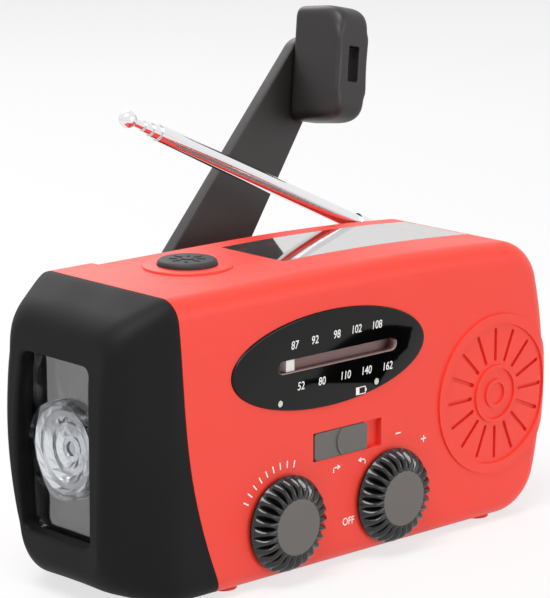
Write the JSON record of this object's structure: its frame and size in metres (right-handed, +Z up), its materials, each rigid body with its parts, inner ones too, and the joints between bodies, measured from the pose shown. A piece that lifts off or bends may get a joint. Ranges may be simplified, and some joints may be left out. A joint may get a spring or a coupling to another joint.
{
  "type": "hand crank phone charger",
  "caption": "Hand crank charger with dial radio, torch end, solar top, loudspeaker, folding crank arm and telescopic antenna.",
  "frame": {"origin": "on the ground plane under the middle of the case's flat underside", "axes": "+X along the body towards the loudspeaker end, +Y towards the back with the crank, +Z up"},
  "size_m": [0.128, 0.0695, 0.1138],
  "materials": {
    "red_shell": "moulded, satin gloss",
    "boot_rubber": "moulded, satin",
    "clear_window": "clear plastic",
    "silver_reflector": "vacuum metallised",
    "clear_lens": "clear plastic",
    "led_epoxy": "clear epoxy",
    "circuit_board": "solder resist",
    "button_rubber": "matt",
    "black_plastic": "matt",
    "solar_silicon": "coated silicon",
    "black_gloss": "high gloss",
    "dial_card": "printed card",
    "white_plastic": "matt",
    "steel": "zinc plated",
    "cord_nylon": "braided nylon",
    "grey_plastic": "moulded, matt",
    "knob_plastic": "moulded, satin",
    "brass": "turned",
    "cone_paper": "pressed paper",
    "magnet_ferrite": "sintered",
    "copper_wire": "enamelled wire",
    "gear_nylon": "moulded nylon",
    "battery_wrap": "shrink sleeve",
    "crank_plastic": "moulded, satin",
    "antenna_chrome": "polished plate"
  },
  "bodies": {
    "root": {"front_case": "red_shell", "rear_case": "red_shell", "end_boot": "boot_rubber", "torch_window": "clear_window", "torch_reflector": "silver_reflector", "torch_lens": "clear_lens", "torch_led": "led_epoxy", "led_board": "circuit_board", "torch_switch": "black_plastic", "solar_window": "clear_window", "solar_cell": "solar_silicon", "dial_window": "black_gloss", "dial_plate": "dial_card", "pointer_rail": "steel", "dial_cord": "cord_nylon", "tuning_capacitor": "white_plastic", "volume_control": "steel", "band_switch": "steel", "speaker_frame": "steel", "speaker_cone": "cone_paper", "speaker_magnet": "magnet_ferrite", "main_board": "circuit_board", "ferrite_rod": "magnet_ferrite", "antenna_coil": "copper_wire", "indicator_lamps": "led_epoxy", "gearbox_frame": "gear_nylon", "gearbox_cover": "gear_nylon", "generator_can": "steel", "battery": "battery_wrap", "battery_tray": "black_plastic", "usb_socket": "steel", "charge_socket": "black_plastic", "port_board": "circuit_board", "crank_bush": "brass", "antenna_screw": "steel", "case_screws": "steel", "board_screws": "steel", "gearbox_screws": "steel"},
    "tuning": {"tuning_knob": "knob_plastic", "tuning_shaft": "brass", "tuning_drum": "white_plastic"},
    "pointer": {"dial_pointer": "white_plastic"},
    "volume": {"volume_knob": "knob_plastic"},
    "band": {"band_slider": "grey_plastic"},
    "button": {"torch_button": "button_rubber"},
    "cover": {"port_cover": "boot_rubber"},
    "crank": {"crank_shaft": "steel", "crank_hub": "crank_plastic", "drive_gear": "gear_nylon"},
    "idler": {"idler_gear": "gear_nylon"},
    "rotor": {"generator_rotor": "magnet_ferrite", "rotor_pinion": "brass"},
    "arm": {"crank_arm": "crank_plastic", "hinge_pin": "steel", "knob_pin": "steel"},
    "handle": {"crank_knob": "crank_plastic"},
    "mast": {"antenna_base": "antenna_chrome"},
    "mast_second": {"antenna_second": "antenna_chrome"},
    "mast_third": {"antenna_third": "antenna_chrome"},
    "mast_rod": {"antenna_rod": "antenna_chrome"}
  },
  "joints": [
    {"name": "tuning_turn", "type": "hinge", "parent": "root", "child": "tuning", "pos_m": [-0.0194, -0.0225, 0.0134], "axis": [0, 1, 0], "range_deg": [-8.3, 171.7]},
    {"name": "pointer_slide", "type": "slide", "parent": "root", "child": "pointer", "axis": [1, 0, 0], "range_m": [-0.00135, 0.02786]},
    {"name": "volume_turn", "type": "hinge", "parent": "root", "child": "volume", "pos_m": [0.0123, -0.0225, 0.0134], "axis": [0, 1, 0], "range_deg": [0, 300]},
    {"name": "band_slide", "type": "slide", "parent": "root", "child": "band", "axis": [1, 0, 0], "range_m": [0, 0.002]},
    {"name": "button_press", "type": "slide", "parent": "root", "child": "button", "axis": [0, 0, -1], "range_m": [0, 0.001], "stiffness_N_per_m": 800, "springref_m": -0.0005},
    {"name": "cover_fold", "type": "hinge", "parent": "root", "child": "cover", "pos_m": [-0.015, 0.0218, 0.0067], "axis": [-1, 0, 0], "range_deg": [0, 90]},
    {"name": "crank_spin", "type": "hinge", "parent": "root", "child": "crank", "pos_m": [-0.0126, 0.0225, 0.041], "axis": [0, -1, 0], "continuous": true},
    {"name": "idler_spin", "type": "hinge", "parent": "root", "child": "idler", "pos_m": [0.00154, 0.0135, 0.03585], "axis": [0, -1, 0], "continuous": true},
    {"name": "rotor_spin", "type": "hinge", "parent": "root", "child": "rotor", "pos_m": [0.01509, 0, 0.03585], "axis": [0, -1, 0], "continuous": true},
    {"name": "arm_fold", "type": "hinge", "parent": "crank", "child": "arm", "pos_m": [-0.0126, 0.028, 0.041], "axis": [-0.7145, 0, 0.6997], "range_deg": [-8.5, 171.5]},
    {"name": "handle_spin", "type": "hinge", "parent": "arm", "child": "handle", "pos_m": [0.04428, 0.04015, 0.09909], "axis": [0.1034, -0.989, 0.1056], "continuous": true},
    {"name": "antenna_tilt", "type": "hinge", "parent": "root", "child": "mast", "pos_m": [0.05, 0.0192, 0.0606], "axis": [0, 1, 0], "range_deg": [-25, 155]},
    {"name": "antenna_pull_1", "type": "slide", "parent": "mast", "child": "mast_second", "axis": [-0.9063, 0, 0.4226], "range_m": [0, 0.062]},
    {"name": "antenna_pull_2", "type": "slide", "parent": "mast_second", "child": "mast_third", "axis": [-0.9063, 0, 0.4226], "range_m": [0, 0.06]},
    {"name": "antenna_pull_3", "type": "slide", "parent": "mast_third", "child": "mast_rod", "axis": [-0.9063, 0, 0.4226], "range_m": [0, 0.06]}
  ],
  "couplings": [
    {"joint": "pointer_slide", "follows": "tuning_turn", "m_per_rad": 0.009295},
    {"joint": "idler_spin", "follows": "crank_spin", "ratio": -4},
    {"joint": "rotor_spin", "follows": "crank_spin", "ratio": 16}
  ]
}
